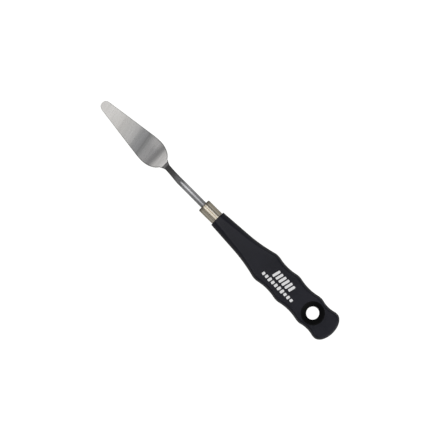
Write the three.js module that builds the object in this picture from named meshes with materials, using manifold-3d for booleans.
// A small cranked palette knife: a trowel-shaped spring-steel blade on a round shank, a nickel-plated
// ferrule and a black moulded handle with finger scallops and a hanging hole.
// Millimetres, +Z up. The knife lies along X with its tip towards +X. The origin is the middle of its
// length, on the surface that the blade's flat underside lies on, below the handle's axis.
import * as THREE from "three";
import { mergeVertices } from "three/addons/utils/BufferGeometryUtils.js";
import Module from "manifold-3d";

const wasm = await Module();
wasm.setup();

// The whole knife
const HALF_LENGTH = 105;
const GAP = 0.3;
const CRANK_DROP = 9;
const SIDE_SET = -1;

// Blade: a pointed oval heel, straight tapering sides and a rounded tip
const BLADE = {
  colour: 0xc4c2bf,
  roughness: 0.32,
  heelX: 48.3,
  widestX: 60.9,
  halfWidth: 8.8,
  heelReach: 12.7,
  sideStartX: 66.7,
  sideStartHalf: 8.3,
  sideEndX: 101.4,
  sideEndHalf: 3.5,
  tipControlHalf: 3,
  heelThickness: 1,
  tipThickness: 0.5,
  curveSteps: 8,
};

// Shank: a round rod, flattened, narrowed and bent down into the cranked neck
const SHANK = {
  colour: 0xaaa8a5,
  roughness: 0.3,
  radius: 2.2,
  neckStartX: 32,
  waistX: 42,
  waistHalf: 1.88,
  filletStartX: 44.5,
  filletStartHalf: 1.9,
  filletEndX: 51.2,
  filletControlX: 48,
  filletControlHalf: 2,
  bendStartX: 31,
  bendLength: 3,
  neckSquareness: 4,
  neckSteps: 22,
  sides: 28,
};

// Tang: the rod's hidden end, with two swaged wings that stop it turning in the handle
const TANG = { depth: 44, wingLength: 9, wingSpan: 6.4, wingThickness: 1.6, wingEndInset: 4 };

// Ferrule: a drawn cup with a hole in its front wall
const FERRULE = {
  colour: 0xcfc6b4,
  roughness: 0.25,
  length: 11.8,
  radius: 4.6,
  wall: 0.5,
  frontWall: 0.8,
  edgeRadius: 0.5,
  edgeSteps: 4,
};

// Handle: a turned outline cut by two parallel flats
const HANDLE = {
  colour: 0x202024,
  roughness: 0.45,
  frontRadius: 5.45,
  frontEdge: 0.5,
  taperEndX: -22,
  taperEndRadius: 6.93,
  flareControlX: -34,
  firstPeakX: -44.8,
  peakRadius: 10.9,
  scallopPitch: 19.5,
  scallopDepth: 1.4,
  cornerX: -98.4,
  cornerRadius: 10.55,
  lastScallopDepth: 1.1,
  buttReach: 6.5,
  buttHalfWidth: 10.6,
  halfThickness: 5.45,
  sides: 48,
  curveSteps: 7,
};

// Hanging hole, with a countersink on each face
const HOLE = { x: -86.75, radius: 4.35, sinkRadius: 8.4, sinkDepth: 2.5, sides: 36 };

// How far a cutting tool reaches past what it cuts
const OVERCUT = 1;

const BLADE_MID_Z = BLADE.heelThickness / 2;
const AXIS_Z = BLADE_MID_Z + CRANK_DROP;

// A closed three.js geometry as a solid, placed by an optional matrix.
function solid(geometry, matrix = new THREE.Matrix4()) {
  const bare = geometry.clone().applyMatrix4(matrix);
  bare.deleteAttribute("normal");
  bare.deleteAttribute("uv");
  const merged = mergeVertices(bare, 1e-4);
  return new wasm.Manifold(
    new wasm.Mesh({
      numProp: 3,
      vertProperties: merged.attributes.position.array,
      triVerts: new Uint32Array(merged.index.array),
    }),
  );
}

// A solid as a named mesh with its own finish.
function piece(name, body, { colour, roughness }, metalness) {
  const made = body.getMesh();
  const geometry = new THREE.BufferGeometry();
  geometry.setAttribute("position", new THREE.Float32BufferAttribute(made.vertProperties, 3));
  geometry.setIndex([...made.triVerts]);
  const flat = geometry.toNonIndexed();
  flat.computeVertexNormals();
  const material = new THREE.MeshStandardMaterial({ color: colour, roughness, metalness });
  const mesh = new THREE.Mesh(flat, material);
  mesh.name = name;
  return mesh;
}

// A box between two corners.
function block(low, high) {
  const size = new THREE.Vector3().subVectors(high, low);
  const middle = new THREE.Vector3().addVectors(low, high).multiplyScalar(0.5);
  return solid(new THREE.BoxGeometry(size.x, size.y, size.z), new THREE.Matrix4().setPosition(middle));
}

// A body turned about the handle's axis. The path gives (x, radius) and starts and ends on the axis
// or closes on itself, running towards +X on its outside.
function turned(path, sides, curveSteps = 1) {
  const profile = path.getPoints(curveSteps).map((p) => new THREE.Vector2(Math.max(p.y, 0), p.x));
  const alongX = new THREE.Matrix4().makeRotationZ(-Math.PI / 2).setPosition(0, 0, AXIS_Z);
  return solid(new THREE.LatheGeometry(profile, sides), alongX);
}

// A round rod on the handle's axis from x0 to x1.
function rod(radius, x0, x1, sides) {
  const path = new THREE.Path();
  path.moveTo(x0, 0);
  path.lineTo(x0, radius);
  path.lineTo(x1, radius);
  path.lineTo(x1, 0);
  return turned(path, sides);
}

// The swaged wings at the end of the tang, grown all round by a clearance.
function tangWings(clearance) {
  const wingX = TANG.wingEndInset - TANG.depth;
  const span = TANG.wingSpan / 2 + clearance;
  const thick = TANG.wingThickness / 2 + clearance;
  return block(
    new THREE.Vector3(wingX - clearance, -span, AXIS_Z - thick),
    new THREE.Vector3(wingX + TANG.wingLength + clearance, span, AXIS_Z + thick),
  );
}

// Half of the steel's outline seen from above, from the start of the neck to the middle of the tip.
function steelHalfPlan() {
  const half = new THREE.Path();
  half.moveTo(SHANK.neckStartX, SHANK.radius);
  const narrowingX = (SHANK.neckStartX + SHANK.waistX) / 2;
  half.quadraticCurveTo(narrowingX, SHANK.waistHalf, SHANK.waistX, SHANK.waistHalf);
  half.lineTo(SHANK.filletStartX, SHANK.filletStartHalf);
  const heelAngle = Math.acos((BLADE.widestX - SHANK.filletEndX) / BLADE.heelReach);
  const filletEndHalf = BLADE.halfWidth * Math.sin(heelAngle);
  half.quadraticCurveTo(SHANK.filletControlX, SHANK.filletControlHalf, SHANK.filletEndX, filletEndHalf);
  half.absellipse(
    BLADE.widestX,
    0,
    BLADE.heelReach,
    BLADE.halfWidth,
    Math.PI - heelAngle,
    Math.PI / 2,
    true,
  );
  const sideSlope = (BLADE.sideStartHalf - BLADE.sideEndHalf) / (BLADE.sideEndX - BLADE.sideStartX);
  const shoulderX = BLADE.sideStartX - (BLADE.halfWidth - BLADE.sideStartHalf) / sideSlope;
  half.quadraticCurveTo(shoulderX, BLADE.halfWidth, BLADE.sideStartX, BLADE.sideStartHalf);
  half.lineTo(BLADE.sideEndX, BLADE.sideEndHalf);
  half.quadraticCurveTo(HALF_LENGTH, BLADE.tipControlHalf, HALF_LENGTH, 0);
  return half.getPoints(BLADE.curveSteps);
}
const halfPlan = steelHalfPlan();

// The steel's half width at x, read off the outline.
function halfWidthAt(x) {
  const next = Math.max(halfPlan.findIndex((p) => p.x >= x), 1);
  const a = halfPlan[next - 1];
  const b = halfPlan[next];
  return THREE.MathUtils.mapLinear(x, a.x, b.x, a.y, b.y);
}

// Blade: the outline from above, cut through a side view that thins towards the tip.
function bladeBody() {
  const shape = new THREE.Shape(halfPlan);
  const mirrored = halfPlan.map((p) => new THREE.Vector2(p.x, -p.y)).reverse();
  mirrored.slice(1).forEach((p) => shape.lineTo(p.x, p.y));
  const tall = 2 * BLADE.heelThickness;
  const plan = solid(
    new THREE.ExtrudeGeometry(shape, { depth: tall, bevelEnabled: false }),
    new THREE.Matrix4().setPosition(0, SIDE_SET, -BLADE.heelThickness / 2),
  );
  const side = new THREE.Shape();
  side.moveTo(BLADE.heelX + GAP / 2, 0);
  side.lineTo(HALF_LENGTH + GAP, 0);
  side.lineTo(HALF_LENGTH + GAP, BLADE.tipThickness);
  side.lineTo(BLADE.heelX + GAP / 2, BLADE.heelThickness);
  const across = 4 * BLADE.halfWidth;
  const wedge = solid(
    new THREE.ExtrudeGeometry(side, { depth: across, bevelEnabled: false }),
    new THREE.Matrix4().makeRotationX(Math.PI / 2).setPosition(0, across / 2, 0),
  );
  return plan.intersect(wedge);
}

// Share of the crank's drop that is done at x: one straight slope between two short bends.
function crankShare(x) {
  const length = BLADE.heelX - SHANK.bendStartX;
  const along = THREE.MathUtils.clamp(x - SHANK.bendStartX, 0, length);
  const nearer = Math.min(along, length - along);
  const bent = Math.min(nearer, SHANK.bendLength);
  const curved = bent ** 2 / (2 * SHANK.bendLength);
  const share = (nearer - bent + curved) / (length - SHANK.bendLength);
  return along < length / 2 ? share : 1 - share;
}

// Flattens the round blank along the neck, sets it over sideways and bends it down to the blade.
function forge(v) {
  if (v[0] <= SHANK.bendStartX) {
    return;
  }
  const done = THREE.MathUtils.smoothstep(v[0], SHANK.neckStartX, BLADE.heelX);
  const across = v[1] / SHANK.radius;
  const up = (v[2] - AXIS_Z) / SHANK.radius;
  const power = THREE.MathUtils.lerp(2, SHANK.neckSquareness, done);
  const reach = Math.hypot(across, up);
  const edge = Math.pow(Math.abs(across) ** power + Math.abs(up) ** power, 1 / power);
  const square = reach > 0 ? reach / edge : 0;
  const halfThickness = THREE.MathUtils.lerp(SHANK.radius, BLADE.heelThickness / 2, done);
  const halfWidth = halfWidthAt(Math.max(v[0], SHANK.neckStartX));
  v[1] = across * square * halfWidth + SIDE_SET * done;
  v[2] = AXIS_Z + up * square * halfThickness - CRANK_DROP * crankShare(v[0]);
}

// Shank: one rod from the tang's end to the blade's heel, forged at its front end.
function shankBody() {
  const neckEndX = BLADE.heelX - GAP / 2;
  const path = new THREE.Path();
  path.moveTo(-TANG.depth, 0);
  path.lineTo(-TANG.depth, SHANK.radius);
  for (let step = 0; step <= SHANK.neckSteps; step += 1) {
    path.lineTo(THREE.MathUtils.lerp(SHANK.bendStartX, neckEndX, step / SHANK.neckSteps), SHANK.radius);
  }
  path.lineTo(neckEndX, 0);
  return turned(path, SHANK.sides).warp(forge).add(tangWings(0));
}

const blade = bladeBody();
const shank = shankBody();

// Ferrule: the cup's closed section, outside first.
function ferruleSection() {
  const inner = FERRULE.radius - FERRULE.wall;
  const front = FERRULE.length;
  const edge = FERRULE.edgeRadius;
  const path = new THREE.Path();
  path.moveTo(GAP, inner);
  path.lineTo(GAP, FERRULE.radius);
  path.lineTo(front - edge, FERRULE.radius);
  path.absarc(front - edge, FERRULE.radius - edge, edge, Math.PI / 2, 0, true);
  path.lineTo(front, SHANK.radius + GAP);
  path.lineTo(front - FERRULE.frontWall, SHANK.radius + GAP);
  path.lineTo(front - FERRULE.frontWall, inner);
  path.lineTo(GAP, inner);
  return path;
}
const ferrule = turned(ferruleSection(), HANDLE.sides, FERRULE.edgeSteps);

// Handle outline from the butt to the end of the spigot that carries the ferrule.
function handleOutline() {
  const path = new THREE.Path();
  const reach = HANDLE.buttReach;
  const across = HANDLE.buttHalfWidth;
  const cornerAngle = Math.asin(HANDLE.cornerRadius / across);
  path.moveTo(-HALF_LENGTH, 0);
  path.absellipse(reach - HALF_LENGTH, 0, reach, across, Math.PI, Math.PI - cornerAngle, true);
  path.lineTo(HANDLE.cornerX, HANDLE.cornerRadius);
  const peaks = [2, 1, 0].map((n) => HANDLE.firstPeakX - n * HANDLE.scallopPitch);
  scallop(path, HANDLE.cornerX, HANDLE.cornerRadius, peaks[0], HANDLE.lastScallopDepth);
  scallop(path, peaks[0], HANDLE.peakRadius, peaks[1], HANDLE.scallopDepth);
  scallop(path, peaks[1], HANDLE.peakRadius, peaks[2], HANDLE.scallopDepth);
  const taperSlope = (HANDLE.taperEndRadius - HANDLE.frontRadius) / HANDLE.taperEndX;
  const flareControl = HANDLE.frontRadius + taperSlope * HANDLE.flareControlX;
  path.quadraticCurveTo(HANDLE.flareControlX, flareControl, HANDLE.taperEndX, HANDLE.taperEndRadius);
  path.lineTo(-HANDLE.frontEdge, HANDLE.frontRadius);
  path.lineTo(0, HANDLE.frontRadius - HANDLE.frontEdge);
  const spigotRadius = FERRULE.radius - FERRULE.wall - GAP;
  path.lineTo(0, spigotRadius);
  const spigotEnd = FERRULE.length - FERRULE.frontWall - GAP;
  path.lineTo(spigotEnd, spigotRadius);
  path.lineTo(spigotEnd, 0);
  return path;
}

// One shallow finger scallop between two crests.
function scallop(path, fromX, fromRadius, toX, depth) {
  const control = (fromRadius + HANDLE.peakRadius) / 2 - 2 * depth;
  path.quadraticCurveTo((fromX + toX) / 2, control, toX, HANDLE.peakRadius);
}

// The countersink of one face: 1 on top, -1 underneath.
function countersink(face) {
  const spread = (HOLE.sinkRadius - HOLE.radius) / HOLE.sinkDepth;
  const height = HOLE.sinkDepth + OVERCUT;
  const mouth = HOLE.sinkRadius + spread * OVERCUT;
  const cone = new THREE.CylinderGeometry(mouth, HOLE.radius, height, HOLE.sides);
  const z = AXIS_Z + face * (HANDLE.halfThickness + OVERCUT - height / 2);
  return solid(cone, new THREE.Matrix4().makeRotationX((face * Math.PI) / 2).setPosition(HOLE.x, 0, z));
}

const outerY = HANDLE.peakRadius + OVERCUT;
const flats = block(
  new THREE.Vector3(-HALF_LENGTH - OVERCUT, -outerY, AXIS_Z - HANDLE.halfThickness),
  new THREE.Vector3(FERRULE.length, outerY, AXIS_Z + HANDLE.halfThickness),
);
const holeDepth = 2 * (HANDLE.halfThickness + OVERCUT);
const hangingHole = solid(
  new THREE.CylinderGeometry(HOLE.radius, HOLE.radius, holeDepth, HOLE.sides),
  new THREE.Matrix4().makeRotationX(Math.PI / 2).setPosition(HOLE.x, 0, AXIS_Z),
);
const handle = turned(handleOutline(), HANDLE.sides, HANDLE.curveSteps)
  .intersect(flats)
  .subtract(rod(SHANK.radius + GAP, -TANG.depth - GAP, HALF_LENGTH, SHANK.sides))
  .subtract(tangWings(GAP))
  .subtract(hangingHole)
  .subtract(countersink(1))
  .subtract(countersink(-1));

const knife = new THREE.Group();
knife.add(
  piece("blade", blade, BLADE, 1),
  piece("shank", shank, SHANK, 1),
  piece("ferrule", ferrule, FERRULE, 1),
  piece("handle", handle, HANDLE, 0),
);

export default knife;
